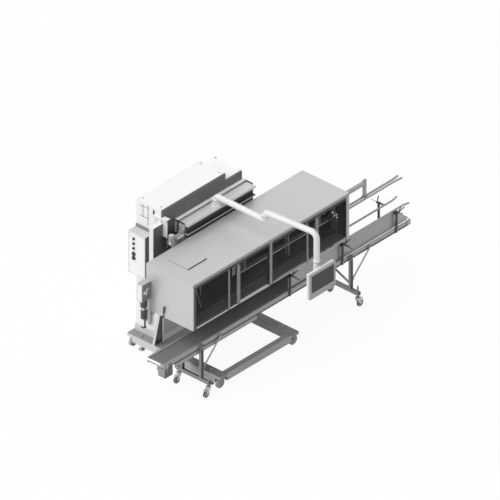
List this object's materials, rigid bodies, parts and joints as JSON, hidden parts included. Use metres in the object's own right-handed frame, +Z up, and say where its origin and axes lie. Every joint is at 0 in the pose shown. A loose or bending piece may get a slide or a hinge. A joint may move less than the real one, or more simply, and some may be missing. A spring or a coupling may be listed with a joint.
{
  "type": "bag sealing machine",
  "caption": "Wheeled bag sealing machine: belt conveyor with guides under a sealing hood with guard doors, rear cabinet and an operator panel on a jointed arm.",
  "frame": {"origin": "middle of the machine's bounding box, on the floor", "axes": "+X along the conveyor towards the infeed end, +Y from the operator's side to the rear, +Z up"},
  "size_m": [3.676, 1.871, 1.732],
  "materials": {
    "white_paint": "fine satin powder coat",
    "light_grey_paint": "satin powder coat",
    "frame_grey_paint": "satin powder coat",
    "dark_grey_paint": "satin powder coat",
    "stainless_sheet": "brushed stainless sheet",
    "stainless_dark": "brushed stainless sections",
    "zinc_steel": "zinc plated steel",
    "cast_aluminium": "bead blasted",
    "tinted_pane": "grey tinted clear sheet",
    "screen_glass": "dark display glass",
    "belt_rubber": "fine textured belt cover",
    "wheel_rubber": "grey wheel rubber",
    "black_plastic": "moulded",
    "panel_plastic": "satin powder coat"
  },
  "bodies": {
    "machine": {"base_left_rail": "frame_grey_paint", "base_right_rail": "frame_grey_paint", "base_front_rail": "frame_grey_paint", "rear_platform": "frame_grey_paint", "levelling_feet": "zinc_steel", "conveyor_side_rails": "stainless_dark", "conveyor_belt": "belt_rubber", "conveyor_bed": "stainless_dark", "conveyor_rollers": "zinc_steel", "drive_gearbox": "cast_aluminium", "leg_frames": "stainless_dark", "leg_braces": "stainless_dark", "near_guide_plate": "stainless_dark", "guide_rods": "stainless_dark", "guide_struts": "dark_grey_paint", "clamp_levers": "black_plastic", "neck_guide_arm": "stainless_dark", "hood_top": "stainless_sheet", "hood_left_end": "stainless_sheet", "hood_right_end": "stainless_sheet", "hood_rear_wall": "stainless_sheet", "hood_floor": "dark_grey_paint", "hood_bay_post": "stainless_sheet", "hatch_plate": "stainless_sheet", "sealing_carrier": "dark_grey_paint", "sealing_rails": "stainless_dark", "sealing_rollers": "cast_aluminium", "cabinet_body": "white_paint", "cabinet_door": "dark_grey_paint", "cabinet_annex": "white_paint", "cabinet_plinth": "light_grey_paint", "button_box": "white_paint", "push_buttons": "black_plastic", "side_column": "white_paint", "rear_tray": "light_grey_paint", "head_actuator": "cast_aluminium", "gusset_plate": "light_grey_paint", "end_drive_box": "light_grey_paint", "air_unit": "cast_aluminium", "arm_base": "white_paint"},
    "first_arm": {"arm_first_tube": "white_paint"},
    "second_arm": {"arm_second_tube": "white_paint"},
    "panel_head": {"operator_panel": "panel_plastic", "panel_screen": "screen_glass"},
    "left_guard_door": {"left_door_pane": "tinted_pane", "left_door_frame": "stainless_dark"},
    "right_guard_door": {"right_door_pane": "tinted_pane", "right_door_frame": "stainless_dark"},
    "left_near_fork": {"left_near_caster_fork": "zinc_steel"},
    "left_near_wheel": {"left_near_caster_wheel": "wheel_rubber"},
    "left_far_fork": {"left_far_caster_fork": "zinc_steel"},
    "left_far_wheel": {"left_far_caster_wheel": "wheel_rubber"},
    "right_near_fork": {"right_near_caster_fork": "zinc_steel"},
    "right_near_wheel": {"right_near_caster_wheel": "wheel_rubber"},
    "right_far_fork": {"right_far_caster_fork": "zinc_steel"},
    "right_far_wheel": {"right_far_caster_wheel": "wheel_rubber"},
    "front_left_transport_wheel": {"front_left_transport_wheel": "wheel_rubber"},
    "rear_left_transport_wheel": {"rear_left_transport_wheel": "wheel_rubber"},
    "front_right_transport_wheel": {"front_right_transport_wheel": "wheel_rubber"},
    "rear_right_transport_wheel": {"rear_right_transport_wheel": "wheel_rubber"}
  },
  "joints": [
    {"name": "arm_base_swivel", "type": "hinge", "parent": "machine", "child": "first_arm", "pos_m": [-0.352, 0.4595, 1.605], "axis": [0, 0, -1], "range_deg": [-45, 45]},
    {"name": "arm_middle_swivel", "type": "hinge", "parent": "first_arm", "child": "second_arm", "pos_m": [-0.352, -0.2045, 1.7], "axis": [0, 0, 1], "range_deg": [-45, 45]},
    {"name": "panel_swivel", "type": "hinge", "parent": "second_arm", "child": "panel_head", "pos_m": [-0.302, -0.8515, 1.35], "axis": [0, 0, 1], "range_deg": [-90, 90]},
    {"name": "left_door_hinge", "type": "hinge", "parent": "machine", "child": "left_guard_door", "pos_m": [-0.888, -0.2345, 1.328], "axis": [1, 0, 0], "range_deg": [-90, 0]},
    {"name": "right_door_hinge", "type": "hinge", "parent": "machine", "child": "right_guard_door", "pos_m": [0.277, -0.2345, 1.328], "axis": [-1, 0, 0], "range_deg": [0, 90]},
    {"name": "left_near_caster_swivel", "type": "hinge", "parent": "machine", "child": "left_near_fork", "pos_m": [-1.297, -0.2915, 0.112], "axis": [0, 0, 1], "continuous": true},
    {"name": "left_near_caster_roll", "type": "hinge", "parent": "left_near_fork", "child": "left_near_wheel", "pos_m": [-1.329, -0.2915, 0.04], "axis": [0, 1, 0], "continuous": true},
    {"name": "left_far_caster_swivel", "type": "hinge", "parent": "machine", "child": "left_far_fork", "pos_m": [-1.297, 0.1065, 0.112], "axis": [0, 0, 1], "continuous": true},
    {"name": "left_far_caster_roll", "type": "hinge", "parent": "left_far_fork", "child": "left_far_wheel", "pos_m": [-1.329, 0.1065, 0.04], "axis": [0, 1, 0], "continuous": true},
    {"name": "right_near_caster_swivel", "type": "hinge", "parent": "machine", "child": "right_near_fork", "pos_m": [0.931, -0.2915, 0.112], "axis": [0, 0, 1], "continuous": true},
    {"name": "right_near_caster_roll", "type": "hinge", "parent": "right_near_fork", "child": "right_near_wheel", "pos_m": [0.963, -0.2915, 0.04], "axis": [0, 1, 0], "continuous": true},
    {"name": "right_far_caster_swivel", "type": "hinge", "parent": "machine", "child": "right_far_fork", "pos_m": [0.931, 0.1065, 0.112], "axis": [0, 0, 1], "continuous": true},
    {"name": "right_far_caster_roll", "type": "hinge", "parent": "right_far_fork", "child": "right_far_wheel", "pos_m": [0.963, 0.1065, 0.04], "axis": [0, 1, 0], "continuous": true},
    {"name": "front_left_transport_wheel_roll", "type": "hinge", "parent": "machine", "child": "front_left_transport_wheel", "pos_m": [-1.107, -0.2745, 0.062], "axis": [0, 1, 0], "continuous": true},
    {"name": "rear_left_transport_wheel_roll", "type": "hinge", "parent": "machine", "child": "rear_left_transport_wheel", "pos_m": [-1.107, 0.8915, 0.062], "axis": [0, 1, 0], "continuous": true},
    {"name": "front_right_transport_wheel_roll", "type": "hinge", "parent": "machine", "child": "front_right_transport_wheel", "pos_m": [-0.024, -0.2745, 0.062], "axis": [0, 1, 0], "continuous": true},
    {"name": "rear_right_transport_wheel_roll", "type": "hinge", "parent": "machine", "child": "rear_right_transport_wheel", "pos_m": [-0.024, 0.8915, 0.062], "axis": [0, 1, 0], "continuous": true}
  ]
}
